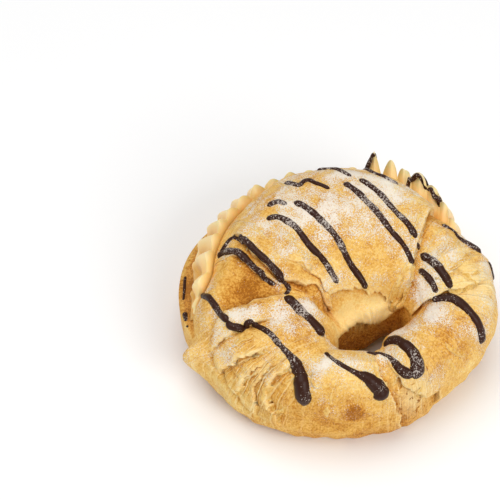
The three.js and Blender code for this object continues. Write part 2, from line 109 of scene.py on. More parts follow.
# Ragged inner rim of the middle wrap over the hole: degrees round, degrees over
RIM = [
    (44, 140), (47, 143), (51, 156), (60, 158), (70, 157), (79, 153), (88, 153), (101, 156), (107, 152),
    (113, 151), (131, 148), (144, 146), (152, 141), (160, 142), (166, 148), (172, 156),
]
RIM_OVER, RIM_STEP, RIM_RAGGED = 151.0, 2.6, 1.6

# Seam between top and base where the slit has closed: degrees round, degrees over, depth in mm
SEAM = [(189, 24, 0), (193, 22, 1.8), (198, 10, 1.8), (201, 4, 1.8), (207, -8, 1.4), (222, -18, 0)]
SEAM_WIDTH = 3.5

# Hollows and swellings: degrees round, degrees over, reach each way in degrees, depth in mm
RELIEF = [
    (173, 76, 11, 20, -5.0), (170, 142, 8, 18, -3.0), (208, 30, 7, 30, -1.8), (222, 72, 8, 22, -1.2),
    (300, 20, 12, 24, -2.0), (40, 62, 12, 20, -1.2), (31, 40, 8, 16, 1.6), (8, 70, 16, 40, 1.2),
    (250, 60, 18, 40, 1.0), (188.5, 8, 3.2, 14, 7.5),
]

# Drifts of icing sugar: degrees round, degrees over, reach each way in degrees, amount
SUGAR_DRIFTS = [
    (122, 97, 13, 14, 0.36), (100, 72, 14, 10, 0.28), (83, 86, 9, 12, 0.3), (140, 84, 8, 14, 0.22),
    (149, 99, 8, 12, 0.22), (29, 105, 9, 10, 0.35), (46, 100, 8, 14, 0.4), (35, 86, 8, 10, 0.25),
    (358, 106, 14, 16, 0.27), (322, 116, 14, 14, 0.25), (182, 115, 9, 14, 0.28), (186, 46, 5, 10, 0.3),
    (186, 82, 5, 22, 0.55), (195, 102, 8, 13, 0.25), (226, 86, 10, 14, 0.18), (285, 99, 12, 14, 0.22),
    (110, 126, 30, 12, -0.4), (327, 50, 16, 26, -0.12), (257, 21, 6, 9, -0.5), (348, 70, 16, 18, -0.15),
    (198, 62, 7, 16, -0.4), (172, 74, 9, 18, -0.8), (205, 20, 14, 24, -0.2), (250, 25, 22, 26, -0.25),
]

# Where the crust is browned more or less, is pale, or is flaky or smooth, in the same way.
# Some browning rows are painted shade: the recess at (171, 74), which is also browner, the band under
# the middle wrap's lip at (166, 114) and the lower shell's left end at (163, -12); at (17, 60) the pale
# layers are lightened further in both tables as painted light.
BROWNING_AND_PAINTED_LIGHT = [
    (171, 74, 10, 19, 0.29), (95, 138, 22, 14, 0.1), (248, 18, 26, 34, 0.46), (257, 21, 5, 8, 0.8),
    (166, 114, 3, 14, 0.15), (170, 145, 7, 18, 0.3), (118, 108, 34, 30, 0.22), (345, 55, 26, 36, 0.3),
    (325, 58, 13, 18, 0.25), (207, 6, 13, 30, -0.32), (17, 60, 11, 26, -0.35), (22, 128, 8, 22, -0.2),
    (163, -12, 16, 16, 0.45),
]
PALE_PATCHES = [(300, 18, 13, 32, 0.75), (17, 60, 10, 24, 0.8)]
FLAKY_PATCHES = [
    (205, 25, 15, 55, 0.9), (300, 15, 16, 40, 0.5), (35, 40, 22, 35, 0.45), (16, 60, 10, 26, 0.6),
    (120, -10, 60, 25, -0.1), (248, 15, 22, 40, -0.15), (173, 76, 10, 20, -0.45), (105, 90, 32, 35, -0.25),
]
TORN_CRUMB = [(300, 18, 14, 34, 1.2)]
# Levels that browning, flakiness and sugar start from, and levels on the cut faces of the slit
TOAST_LEVEL, FLAKY_LEVEL, DUST_LEVEL = 0.4, 0.22, 0.34
CUT_FLAKY, UPPER_CUT_PALE, LOWER_CUT_PALE, LOWER_CUT_TOAST = 0.05, 0.8, 0.05, 0.35

# Radii that lay the crust out flat, along the ring and over the section
WRAP_RADIUS, WRAP_SECTION = 55.0, 23.0

# Mesh fineness, and the radius that tubes are first spun at
SPIN_RADIUS = 3.0
FACE_ROWS, TOP_ROWS, UNDER_ROWS = 10, 112, 66
UNDER_CROWD = 1.25
BAND_COLUMNS, MIN_BAND_COLUMNS = 450, 6
# Degrees over the section where the wraps are measured to share out the columns
BAND_OVER = 60.0

# Custard piped along the slit, one row a ridge: degrees round, height of its crest over the lip,
# bulge outwards, and how blunt it is
RIDGES = [
    (44, 0, 0, 2), (50, 0, 1, 2), (54.5, 4, 3, 4), (59, 8.5, 5, 5), (64.5, 12.5, 6.5, 5.5),
    (71.5, 15.5, 5.5, 5.5), (77, 12, 4, 5), (81.6, 14.5, 4, 2.4), (87.5, 16.5, 3.5, 1.2), (95, 4, 3, 2),
    (101, 3, 3, 2.5), (107, 3, 3, 2.5), (113, 4, 3, 2.5), (119, 3, 3, 2.5), (125, 4.5, 3, 2.5),
    (131, 3, 3, 2.5), (137, 2.5, 2.5, 2.5), (143, 4, 2, 2.5), (149, 2.5, 2, 2.5), (157, 4, 2, 2.5),
    (167.5, 5.5, 2, 2.2), (173, 1.5, 1, 2.5), (175.2, 0, 0, 2.5),
]
CUSTARD_GAP = 0.5
RIDGE_LEAN, RIDGE_DEPTH, RIDGE_MERGE, CUSTARD_SET_IN = 2.0, 3.6, 0.15, 0.14
CUSTARD_SHELF = 0.3
# By the closing end of the slit the custard is set in further and folds into a ribbon along the lip
RIBBON_FROM, RIBBON_SPAN, RIBBON_DEPTH, RIBBON_SET_IN = 150.0, 14.0, 2.2, 0.08
CUSTARD_FACE_ROWS, CUSTARD_OUTER_ROWS, RIDGE_STEPS = 8, 56, 20
CUSTARD_FACE_END = 0.7

# Chocolate: width at the start and at the end, then the line as degrees round and over (round, over, ...)
DRIZZLE = [
    (3.0, 2.8, 126, 84, 124, 90, 122, 100, 120, 110, 119, 118, 118, 134, 106, 150),
    (2.8, 3.0, 139, 80, 136, 84, 135, 90, 135, 97, 138, 110, 139, 124, 143, 138),
    (3.0, 2.5, 102, 80, 97, 87, 91, 95, 79, 107, 65, 113, 52, 120),
    (2.8, 2.8, 95, 76, 86, 86, 77, 94, 67, 98, 60, 102),
    (1.8, 1.5, 58, 104, 56, 106),
    (3.6, 3.4, 53, 108, 44, 106, 36, 104, 29, 102, 17, 94),
    (3.0, 2.8, 47, 120, 34, 117, 26, 114, 18, 110),
    (4.2, 4.0, 16, 113, 12, 93, 7, 79, 3, 67, -3, 45, -7, 22),
    (1.6, 4.2, 256, 114, 268, 110, 279, 99, 285, 84, 289, 66, 296, 51),
    (4.6, 6.2, 284, 119, 296, 122, 303, 110, 305, 94, 306, 84, 305, 68, 302, 57, 296, 49),
    (1.8, 6.8, 224, 103, 231, 93, 237, 86, 244, 80, 250, 75, 256, 70, 261, 66, 266, 58, 270, 49,
     272, 39, 273, 32),
    (2.4, 7.0, 190, 77, 196, 82, 203, 83, 211, 81, 218, 74, 225, 56, 229, 39, 231, 25),
    (2.8, 3.0, 170, 37, 172, 42, 174, 48, 178, 52, 181, 53, 185, 57, 187.5, 59),
    (3.2, 2.2, 187, 59, 188.5, 57.5, 190, 60, 190.5, 67, 189.5, 72, 190, 77),
    (4.2, 4.6, 177, 104, 179, 109, 184, 114, 188, 120, 193, 124, 199, 128, 204, 134),
    (2.4, 2.8, 155, 55, 152, 60, 149.5, 64, 150, 71, 153, 79, 156, 86, 159.5, 94, 164, 101, 167, 107),
    (2.4, 2.0, 166, 105, 168, 108, 171, 108.5, 175, 105),
    (3.2, 2.6, 156, 52, 155, 59, 155.5, 66, 157, 74, 159.5, 81, 164, 90, 168, 99),
    (2.6, 2.4, 134, 74, 132, 76, 130, 78, 129, 83),
    (2.8, 2.2, 121, 62, 119, 74, 117, 72, 114, 71, 113, 76, 111, 80, 109, 84),
    (2.6, 2.2, 108, 56, 104, 61, 102, 64, 100, 70, 98, 74),
    (2.4, 2.6, 92, 50, 90, 56, 88, 62, 83, 68, 79, 70),
    (2.0, 3.6, 55, 72, 52, 70, 48.5, 64, 45.5, 67, 41.5, 59, 38, 52, 35, 47),
    (1.8, 2.0, 31, 42, 29, 36, 28, 28, 28, 20),
]
# Chocolate on the custard: widths, then the line as degrees round and mm out from the lip (round, out, ...)
CUSTARD_DRIZZLE = [
    (2.0, 1.4, 92, 1.2, 90.5, 2.0, 89, 3.0, 87.8, 4.0),
    (2.0, 2.2, 77, 1.4, 75, 2.2, 73, 3.2, 71, 3.8, 69.5, 3.4, 69, 2.0),
    (2.0, 2.4, 69.6, 3.0, 67.5, 2.6, 65, 2.6, 62, 2.4),
]
# Thin smears of chocolate on the lower cut face, by its edge, in the same way
SMEARS = [
    (1.4, 1.1, 157, 13, 160, 12.6, 163, 11.8, 166, 10.6),
    (2.4, 1.8, 171, 7, 173, 5.6, 175, 4.4),
    (1.1, 0.8, 176.6, 3.6, 177.6, 2.9),
]
CUSTARD_CAST_HEIGHT = 90.0
DRIP_ROUND = 0.7
DRIZZLE_STEP = 0.5
DRIZZLE_LIFT = -0.3
CAST_FROM = 16.0
# Samples for each mark of a line, and passes that smooth lines on the crust and lines that drop
LINE_SAMPLES, CRUST_SMOOTHING, DROP_SMOOTHING = 24, 6, 30

# Thin flakes standing off the crust: how many, and their patch as degrees round and over, from and to
FLAKE_PATCHES = [
    (12, 187, 224, -14, 70), (5, 146, 156, 60, 128), (6, 44, 62, 70, 150), (6, 18, 58, 28, 100),
    (5, 264, 310, 4, 100), (4, 226, 246, -6, 70), (5, 70, 140, 26, 60), (4, 322, 375, 14, 100),
]
FLAKE_LENGTH, FLAKE_WIDTH = (7.0, 18.0), (3.0, 8.0)
FLAKE_CELLS = 10
FLAKE_THICKNESS = 0.2
FLAKE_SECTION = 22.0
LEAST_FLAKE_REACH = 14.0
FLAKE_SINK, FLAKE_RISE = 0.2, 0.6
FLAKE_SEED = 7

# Camera: the photograph's view
CAMERA_RISE = math.radians(50)
CAMERA_DISTANCE = 750.0
CAMERA_LENS = 132.08
CAMERA_AIM_RIGHT, CAMERA_AIM_UP = -36.39, 34.75
SENSOR_WIDTH = 36.0

# Lights: name, place and aim in metres, size in metres, power in watts
LIGHTS = [
    ("top_softbox", (-0.35, 0.1, 1.5), (0, 0, 0), 1.4, 14.0),
    ("front_softbox", (0.55, -0.8, 0.75), (0, 0, 0.02), 0.6, 6.5),
]
WORLD_STRENGTH = 0.42
FLOOR_HALF = 3.0

# Colours: crust from pale to browned, its browned end also used for painted shade; custard from the crests
# of its ridges to the painted shade of the valleys between them
CRUST_STOPS = [
    (0.0, (0.94, 0.70, 0.28)), (0.3, (0.86, 0.54, 0.15)), (0.55, (0.75, 0.40, 0.075)),
    (0.8, (0.57, 0.23, 0.025)), (1.0, (0.36, 0.12, 0.006)),
]
CUSTARD_STOPS = [(0.15, (0.96, 0.735, 0.37)), (0.6, (0.92, 0.60, 0.21)), (1.0, (0.78, 0.42, 0.08))]
FLOOR_STOPS = [(0.0, (0.93, 0.93, 0.93)), (1.0, (0.95, 0.95, 0.95))]
PALE_LAYER = (0.98, 0.74, 0.35, 1)
SUGAR = (0.88, 0.83, 0.75, 1)
CHOCOLATE, SUGAR_ON_CHOCOLATE = (0.036, 0.0098, 0.0038, 1), (0.56, 0.49, 0.43, 1)
# Fineness of the colours' noise, in lumps a metre, and how far apart thin layers lie, in mm
MOTTLE_SCALE, PATCH_SCALE, SPECKLE_SCALE, RAGGED_SCALE, PORE_SCALE = 170.0, 480.0, 1200.0, 420.0, 420.0
POWDER_SCALE, CUSTARD_CLOUD, CHOCOLATE_POWDER, CHOCOLATE_CLOUD = 1900.0, 160.0, 1500.0, 120.0
WIDE_LAYER, THIN_LAYER = 4.6, 1.7
# Heights, in metres, between which sugar on the chocolate grows
SUGARED_FROM, SUGARED_TO = 0.036, 0.052

GRADIENTS = np.array([
    (1, 1, 0), (-1, 1, 0), (1, -1, 0), (-1, -1, 0), (1, 0, 1), (-1, 0, 1),
    (1, 0, -1), (-1, 0, -1), (0, 1, 1), (0, -1, 1), (0, 1, -1), (0, -1, -1)], float)


def smooth(x):
    x = np.clip(x, 0, 1)
    return x * x * (3 - 2 * x)


def lerp(a, b, t):
    return a + (b - a) * t


def signed_power(x, power):
    return np.sign(x) * np.abs(x) ** power


def grain(points, size, seed=0):
    """Smooth random field of about -1 to 1, with lumps of the given size in mm."""
    place = points / size + seed * 7.31
    cell = np.floor(place).astype(np.int64)
    inside = place - cell
    weight = inside ** 3 * (inside * (inside * 6 - 15) + 10)
    total = np.zeros(points.shape[:-1])
    for corner in np.ndindex(2, 2, 2):
        knot = cell + corner
        key = (knot[..., 0] * 73856093) ^ (knot[..., 1] * 19349663) ^ (knot[..., 2] * 83492791)
        key = ((key ^ (key >> 13) ^ (seed * 2654435)) * 1274126177) & 0x7FFFFFFF
        slope = GRADIENTS[(key >> 9) % len(GRADIENTS)]
        share = np.prod(np.where(np.array(corner) > 0, weight, 1 - weight), axis=-1)
        total += share * ((inside - corner) * slope).sum(-1)
    return 1.4 * total


def cubic(f, a, b, c, d):
    """Smooth curve between b and c, at a share f of the way, with a before and d after."""
    return b + 0.5 * f * (c - a + f * (2 * a - 5 * b + 4 * c - d + f * (3 * (b - c) + d - a)))


def loop(degrees, values):
    """Closed smooth curve through evenly spaced values, read at angles in degrees."""
    values = np.asarray(values, float)
    n = len(values)
    place = (np.asarray(degrees, float) % 360) / 360 * n
    i = np.floor(place).astype(int)
    return cubic(place - i, *(values[(i + k) % n] for k in (-1, 0, 1, 2)))


def wall(around, over):
    """Plain section of the ring: distance from the hole's centre and height."""
    reach = loop(around, OUTER_REACH)
    height = loop(around, TOP_HEIGHT)
    inner = loop(around, HOLE_REACH)
    waist = WAIST_SHARE * height
    across, up = np.cos(np.radians(over)), np.sin(np.radians(over))
    base_round = np.where(across < 0, loop(around, HOLE_BASE_ROUND), BASE_ROUND)
    power = 2 / np.where(up > 0, TOP_ROUND, base_round)
    rise = np.where(up > 0, height - waist, waist + BASE_SINK)
    r = (inner + reach) / 2 + (reach - inner) / 2 * signed_power(across, power)
    return r, waist + rise * signed_power(up, power)


def slit_open(around):
    turn = np.asarray(around) % 360
    start = smooth((turn - SLIT_FROM) / (SLIT_FULL_FROM - SLIT_FROM))
    end = smooth((SLIT_TO - turn) / (SLIT_TO - SLIT_FULL_TO))
    return start * end


def mouth_level(around):
    return loop(around, MOUTH_LEVEL)


def mouth_half(around):
    return MOUTH_CLOSED + MOUTH_OPEN * slit_open(around)


def cut_face(around, side, deep):
    """Point on a cut face: side 1 is the upper face, deep runs from 0 at the lip to 1 inside."""
    r, z = wall(around, mouth_level(around) + side * mouth_half(around) * (1 - deep))
    inset = np.where(np.asarray(side) > 0, loop(around, SLIT_INSET) * (1 - deep), 0.0)
    return r - slit_open(around) * (SLIT_DEPTH * deep + inset), z


def ring_point(around, r, z):
    turn = np.radians(around)
    return np.stack([HOLE_X + r * np.cos(turn), HOLE_Y + r * np.sin(turn), np.maximum(z, 0.0)], -1)


def outward(around, over):
    """Plain section and the direction square to it: distance, height, then the direction's two parts."""
    r0, z0 = wall(around, over)
    r1, z1 = wall(around, over + 1)
    length = np.hypot(r1 - r0, z1 - z0)
    return r0, z0, (z1 - z0) / length, -(r1 - r0) / length


def half_turn(over):
    """Degrees over the section counted from -120 under the base to 240."""
    return np.where(over > 240, over - 360, over)


def edge_shown(edge, over):
    """How much of an edge's step shows, from 0 to 1."""
    low, high = edge.shown
    turn = half_turn(over)
    return smooth((turn - low) / EDGE_FADE) * smooth((high - turn) / EDGE_FADE)


def flat_place(x, y):
    """Points at x and y in mm and height 0, where random fields are read."""
    return np.stack(np.broadcast_arrays(x, y, 0.0), -1)


def edge_place(over, number):
    """Place along an edge, for its random changes."""
    return flat_place(half_turn(over) * 0.6, 31.0 * number)


def edge_angle(edge, over, number):
    """Where an edge runs, with its ragged reach."""
    around = loop(over, edge.line)
    reach = wall(around, over)[0]
    line = edge_place(over, number)
    ragged = grain(line, 9.0, 3) + 0.6 * grain(line, 3.1, 4) + 0.35 * grain(line, 1.3, 5)
    ragged = edge.ragged * ragged * edge_shown(edge, over)
    return around + np.degrees(ragged / np.maximum(reach, LEAST_REACH))


def blob(around, over, at_around, at_over, wide, tall):
    turn = (around - at_around + 180) % 360 - 180
    return np.exp(-(turn / wide) ** 2 - ((half_turn(over) - at_over) / tall) ** 2)


def soft_patches(around, over, rows):
    """Sum of soft patches, each a row of degrees round and over, reach each way and amount."""
    return sum(amount * blob(around, over, *place) for *place, amount in rows)


def read_table(table, around):
    """Columns of a table at these places round the ring; its first column is degrees round."""
    at, *columns = np.array(table, float).T
    return [np.interp(np.asarray(around) % 360, at, column) for column in columns]


def fold_share(around, over):
    """How much a place lies on the fold in the hole, and how much below it."""
    turn = np.asarray(around) % 360
    top, foot = read_table(FOLD, around)
    along = smooth((turn - FOLD[0][0]) / 10) * smooth((FOLD[-1][0] - turn) / 12)
    on_fold = smooth((over - top + 4) / 8) * smooth((foot + 0.5 - over) / 1.5) * smooth((foot - top) / 8)
    below = smooth((over - foot) / 1.5) * smooth((255 - over) / 30)
    return along * on_fold, along * below


def seam_share(around, over):
    """Depth of the closed seam here, in mm."""
    level, depth = read_table(SEAM, around)
    return depth * np.exp(-((half_turn(over) - level) / SEAM_WIDTH) ** 2)


def section_rows():
    """Rows over the section as (zone, share): upper cut face, top, rim, the rest, lower cut face."""
    rows = [("upper", 1 - i / FACE_ROWS) for i in range(FACE_ROWS)]
    rows += [("top", i / TOP_ROWS) for i in range(TOP_ROWS + 1)]
    rows += [("rim", 0.5)]
    rows += [("under", (i / UNDER_ROWS) ** UNDER_CROWD) for i in range(UNDER_ROWS + 1)]
    rows += [("lower", i / FACE_ROWS) for i in range(1, FACE_ROWS)]
    return rows


ROW_ZONE, ROW_SHARE = (np.array(part) for part in zip(*section_rows()))


def rim_line(around):
    line = flat_place(np.asarray(around) * 0.35, 5.0)
    return read_table(RIM, around)[0] + RIM_RAGGED * (grain(line, 4.0, 6) + grain(line, 1.8, 7))


def in_middle_wrap(around):
    turn = around % 360
    return smooth((turn - RIM[0][0]) / 6) * smooth((RIM[-1][0] - turn) / 10)


def row_over(around):
    """Degrees over the section of every row at these places round the ring."""
    half, level = mouth_half(around), mouth_level(around)
    wrapped = in_middle_wrap(around)
    rim = lerp(RIM_OVER, rim_line(around), wrapped)
    top_start = level + half
    under_end = 360 + level - half
    under_start = rim + 1 - 2.0 * wrapped
    return np.select(
        [ROW_ZONE == zone for zone in ("upper", "top", "rim", "under", "lower")],
        [level + half * (1 - ROW_SHARE), lerp(top_start, rim - 1, ROW_SHARE), rim,
         lerp(under_start, under_end, ROW_SHARE), 360 + level - half * (1 - ROW_SHARE)])


def ring_columns():
    """Columns round the ring: (first edge, last edge, share along the wrap, lip drop)."""
    sizes = []
    for k, first in enumerate(EDGES):
        last = EDGES[(k + 1) % len(EDGES)]
        start, end = loop(BAND_OVER, first.line), loop(BAND_OVER, last.line)
        end += 360 if k + 1 == len(EDGES) else 0
        reach = wall((start + end) / 2, np.array(BAND_OVER))[0]
        sizes.append(math.radians(end - start) * float(reach))
    columns = []
    for k, first in enumerate(EDGES):
        j = (k + 1) % len(EDGES)
        count = max(MIN_BAND_COLUMNS, round(BAND_COLUMNS * sizes[k] / sum(sizes)))
        if first.raised == "after":
            columns.append((k, j, 0.0, 1.0))
        columns += [(k, j, i / count, 0.0) for i in range(count + 1)]
        if EDGES[j].raised == "before":
            columns.append((k, j, 1.0, 1.0))
    return columns


def column_place(column, over, lines):
    """Degrees round and wrap relief of one column at each row, and how near it is to a lip and a foot."""
    k, j, along, drop = column
    first, last = EDGES[k], EDGES[j]
    turn = 360.0 if j == 0 else 0.0
    reach = np.maximum(wall(loop(over, first.line), over)[0], LEAST_REACH)
    shown_first, shown_last = (edge_shown(edge, over) for edge in (first, last))
    first_step, last_step = (
        edge.step * shown * (1 + 0.35 * grain(edge_place(over, number), 6.0, 8))
        for number, edge, shown in ((k, first, shown_first), (j, last, shown_last)))
    start = lines[k] + EDGE_HALF_WIDTH
    end = lines[j] + turn - EDGE_HALF_WIDTH
    if first.raised == "before":
        start = start - np.degrees(min(LIP_UNDERCUT, first.step) / reach) * shown_first
    if last.raised == "after":
        end = end + np.degrees(min(LIP_UNDERCUT, last.step) / reach) * shown_last
    around = lerp(start, end, along)
    width = np.radians(end - start) * reach
    low = (0.5 if first.raised == "after" else -0.5) * first_step
    high = (0.5 if last.raised == "before" else -0.5) * last_step
    top = smooth((np.sin(np.radians(over)) + 0.3) / 0.6)
    belly = BARREL * np.minimum((end - start) / BARREL_SPAN, 1)
    relief = lerp(low, high, along) + belly * (1 - (2 * along - 1) ** 2) * top
    lip, foot = np.zeros_like(over), np.zeros_like(over)
    sides = (
        (k, first, shown_first, along * width, "after"),
        (j, last, shown_last, (1 - along) * width, "before"))
    for number, edge, shown, away, raised in sides:
        if edge.raised == raised:
            lip = np.maximum(lip, shown * np.exp(-away / 0.7))
            curl = grain(edge_place(over, number), 4.0, 9)
            relief = relief + LIP_CURL * shown * curl * np.exp(-away / 2.5)
        else:
            foot = np.maximum(foot, shown * np.exp(-away / FOOT_REACH))
    relief = relief - FOOT_DIP * foot
    if drop:
        step = first_step if along == 0 else last_step
        relief = relief - np.minimum(LIP_THICKNESS, 0.6 * step)
        around = around + (EDGE_HALF_WIDTH if along > 0 else -EDGE_HALF_WIDTH)
        lip = lip * 0.6
    return around, relief, lip, foot


def pastry_grid():
    """Points of the pastry for every column and row, with the values that its colours read."""
    columns = ring_columns()
    sample = row_over(np.array(90.0))
    lines = [edge_angle(item, sample, number) for number, item in enumerate(EDGES)]
    placed = [column_place(column, sample, lines) for column in columns]
    around, relief, lip, foot = (np.array(part) for part in zip(*placed))
    over = row_over(around)
    open_ = slit_open(around)
    half, level = mouth_half(around), mouth_level(around)
    faces = np.isin(ROW_ZONE, ("upper", "lower"))
    r0, z0, out_r, out_z = outward(around, over)
    relief += soft_patches(around, over, RELIEF)
    on_fold, below = fold_share(around, over)
    seam = seam_share(around, over)
    relief += FOLD_BULGE * on_fold - FOLD_DROP * below - seam
    plain = ring_point(around, r0, z0)
    relief += FOLD_CRINKLE * on_fold * (grain(plain, 6.0, 61) + 0.6 * grain(plain, 2.8, 62))
    from_lip = np.minimum(over - level - half, 360 + level - half - over)
    from_lip = np.where(faces, 0.0, from_lip)
    hold = smooth(from_lip / LIP_FADE + 1 - open_)
    wrapped = in_middle_wrap(around)
    rim_share = np.where(ROW_ZONE == "under", smooth((205 - over) / 50), 0.0)
    rim_share = np.where(ROW_ZONE == "rim", 0.7, rim_share)
    fine, plate_edge, plate_foot = crust_texture(plain, around, over)
    out = (relief + fine) * hold - RIM_STEP * rim_share * wrapped
    top_start = level + half
    inset = np.where(ROW_ZONE == "top", smooth((90 - over) / (90 - top_start)), 0.0)
    side = np.where(ROW_ZONE == "upper", 1, -1)
    face_r, face_z = cut_face(around, side, np.where(faces, ROW_SHARE, 0.0))
    base_r = np.where(faces, face_r, r0 - loop(around, SLIT_INSET) * open_ * inset)
    base_z = np.where(faces, face_z, z0)
    points = ring_point(around, base_r + out * out_r, base_z + out * out_z)
    rim_edge = np.where(ROW_ZONE == "top", np.exp(-(1 - ROW_SHARE) * 50), 0.0) * wrapped
    rim_foot = np.where(ROW_ZONE == "under", np.exp(-ROW_SHARE * 30), 0.0) * wrapped
    edge = np.maximum.reduce([lip, 0.45 * plate_edge, rim_edge])
    # Feet below edges, flakes and the rim, and the seam's crease: the colours darken them as painted shade.
    foot = np.maximum.reduce([foot, 0.8 * plate_foot, rim_foot, np.minimum(seam, 1.0)])
    upper_cut, lower_cut = ((ROW_ZONE == zone) & (open_ > 0.05) for zone in ("upper", "lower"))
    values = crust_values(
        plain, around, over, relief + fine, edge, foot, on_fold, below, upper_cut, lower_cut)
    return points, values


def flakiness(around, over):
    """How flaky the crust is, from smooth baked skin to torn layers."""
    rough = FLAKY_LEVEL + soft_patches(around, over, FLAKY_PATCHES)
    in_hole = smooth((over - 108) / 36) * smooth((262 - over) / 20)
    return np.clip(rough * (1 - 0.95 * in_hole), 0.02, 1.1)


def plates(field):
    """Thin plates that rise slowly and break off: height, nearness to the broken edge and to its foot."""
    share = np.mod(field, 1.0)
    height = share * (1 - smooth((share - 0.9) / 0.1))
    edge = smooth((share - 0.72) / 0.16) * (1 - smooth((share - 0.93) / 0.07))
    return height, edge, 1 - smooth(share / 0.16)


def wrap_place(around, over):
    """Place on the crust laid out flat in mm: along the ring, then over the section."""
    return flat_place(np.radians(around) * WRAP_RADIUS, np.radians(half_turn(over)) * WRAP_SECTION)


def crust_texture(plain, around, over):
    """Fine relief of the crust in mm, with the edges and feet of its flakes."""
    rough = flakiness(around, over)
    top = smooth((np.sin(np.radians(over)) + 0.45) / 0.5)
    drawn_out = wrap_place(around, over) * (1.0, 0.3, 1.0)
    lumps = 0.6 * grain(plain, 19.0, 11) + 0.25 * grain(plain, 8.0, 12) + 0.12 * grain(plain, 3.4, 13)
    lumps += 0.8 * (1 - top) * grain(plain, 6.0, 18)
    streaks = 0.25 * grain(drawn_out, 4.0, 14) + 0.15 * grain(drawn_out, 2.0, 15)
    field = 1.6 * grain(drawn_out, 15.0, 16) + 0.2 * grain(plain, 5.0, 17) + 0.5
    sheets, sheet_edge, sheet_foot = plates(field)
    relief = lumps + top * rough * (streaks + 0.45 * sheets - 0.2)
    edge = np.clip(rough * top * sheet_edge, 0, 1)
    foot = np.clip(rough * top * sheet_foot, 0, 1)
    return relief, edge, foot


def sugar_amount(plain, around, over):
    """Icing sugar on upward faces, from 0 to 1."""
    dust = DUST_LEVEL + 0.3 * grain(plain, 14.0, 23) + 0.3 * grain(plain, 5.0, 24)
    dust += soft_patches(around, over, SUGAR_DRIFTS)
    up = np.sin(np.radians(over))
    return np.maximum(dust, 0.05) * smooth((up + 0.1) / 0.7) * smooth((155 - np.abs(over)) / 20)


def crust_values(plain, around, over, relief, edge, foot, on_fold, below, upper_cut, lower_cut):
    """Values that the crust's colours read: how browned it is, with painted shade and painted light added,
    and how pale, sugared, flaky and crumbly it is.
    """
    down = -np.sin(np.radians(over))
    drapes = grain(plain * (1.0, 1.0, 0.5), 5.0, 26)
    in_hole = smooth((over - 150) / 20) * smooth((262 - over) / 20)
    # Painted shade: lower relief comes out a little darker.
    toast_and_painted_light = TOAST_LEVEL + 0.16 * grain(plain, 26.0, 21) + 0.14 * grain(plain, 7.0, 22) - 0.03 * relief
    # Painted shade darkens faces turned downwards (which are also browner from the bake) and the feet of
    # edges, of the rim and of the seam.
    toast_and_painted_light += soft_patches(around, over, BROWNING_AND_PAINTED_LIGHT) + 0.2 * smooth((down - 0.1) / 0.5) + 0.25 * foot
    # In the hole, painted shade darkens the wall below the fold, and painted light lightens the wall above
    # it.
    toast_and_painted_light += in_hole * (0.32 * below + (0.45 * drapes - 0.42) * (1 - below)) + LOWER_CUT_TOAST * lower_cut
    pale = 0.75 * edge * np.clip(0.7 + 0.6 * grain(plain, 5.0, 25), 0, 1)
    for row in PALE_PATCHES:
        pale = np.maximum(pale, soft_patches(around, over, [row]))
    # The fold in the hole is paler dough, made paler still as painted light.
    pale = np.maximum(pale, (0.45 + 0.4 * drapes + 0.3 * grain(plain, 3.2, 27)) * on_fold)
    pale = np.where(upper_cut, UPPER_CUT_PALE, np.where(lower_cut, LOWER_CUT_PALE, pale))
    cut = upper_cut | lower_cut
    dust = np.where(cut, 0.0, sugar_amount(plain, around, over) + 0.06 * relief)
    crumb = soft_patches(around, over, TORN_CRUMB)
    shares = {"toast_and_painted_light": toast_and_painted_light, "pale": pale, "dust": dust, "crumb": crumb}
    values = {name: np.clip(share, 0, 1) for name, share in shares.items()}
    values["flaky"] = np.where(cut, CUT_FLAKY, flakiness(around, over))
    values["wrap"] = wrap_place(around, over)
    return values


def add_object(name, data):
    item = bpy.data.objects.new(name, data)
    bpy.context.collection.objects.link(item)
    return item


def mesh_from(bm, name):
    mesh = bpy.data.meshes.new(name)
    bm.to_mesh(mesh)
    bm.free()
    return mesh


def vertex_places(mesh):
    flat = np.empty(len(mesh.vertices) * 3)
    mesh.vertices.foreach_get("co", flat)
    return flat.reshape(-1, 3)


def spun_tube(name, columns, rows, closed):
    """Tube of quads by spinning a circle, right round or half; also each vertex's column and row."""
    angle = 2 * math.pi if closed else math.pi
    steps = columns if closed else columns - 1
    bm = bmesh.new()
    bmesh.ops.create_circle(bm, segments=rows, radius=1.0)
    bmesh.ops.rotate(bm, verts=bm.verts, matrix=Matrix.Rotation(math.pi / 2, 3, "X"))
    bmesh.ops.translate(bm, verts=bm.verts, vec=(SPIN_RADIUS, 0, 0))
    bmesh.ops.spin(
        bm, geom=bm.verts[:] + bm.edges[:], cent=(0, 0, 0), axis=(0, 0, 1), angle=angle, steps=steps,
        use_merge=closed)
    if not closed:
        bmesh.ops.holes_fill(bm, edges=[e for e in bm.edges if e.is_boundary], sides=0)
    mesh = mesh_from(bm, name)
    x, y, z = vertex_places(mesh).T
    turned = np.arctan2(y if closed else np.maximum(y, 0), x)
    column = np.round(turned / angle * steps).astype(int) % columns
    row = np.round(np.arctan2(z, np.hypot(x, y) - SPIN_RADIUS) / (2 * np.pi) * rows).astype(int) % rows
    return mesh, column, row


def finish_piece(mesh, points, values):
    """Puts the points (mm) in the mesh, in metres, stores the values, and smooths the faces and turns their
    normals outwards.
    """
    mesh.vertices.foreach_set("co", ((points + RING_PLACE) * MM).ravel())
    for name, data in values.items():
        kind, field = ("FLOAT", "value") if data.ndim == 1 else ("FLOAT_VECTOR", "vector")
        layer = mesh.attributes.new(name, kind, "POINT")
        layer.data.foreach_set(field, np.ascontiguousarray(data.ravel(), dtype=np.float32))
    bm = bmesh.new()
    bm.from_mesh(mesh)
    bmesh.ops.recalc_face_normals(bm, faces=bm.faces)
    for face in bm.faces:
        face.smooth = True
    bm.to_mesh(mesh)
    bm.free()
    mesh.update()
    return add_object(mesh.name, mesh)


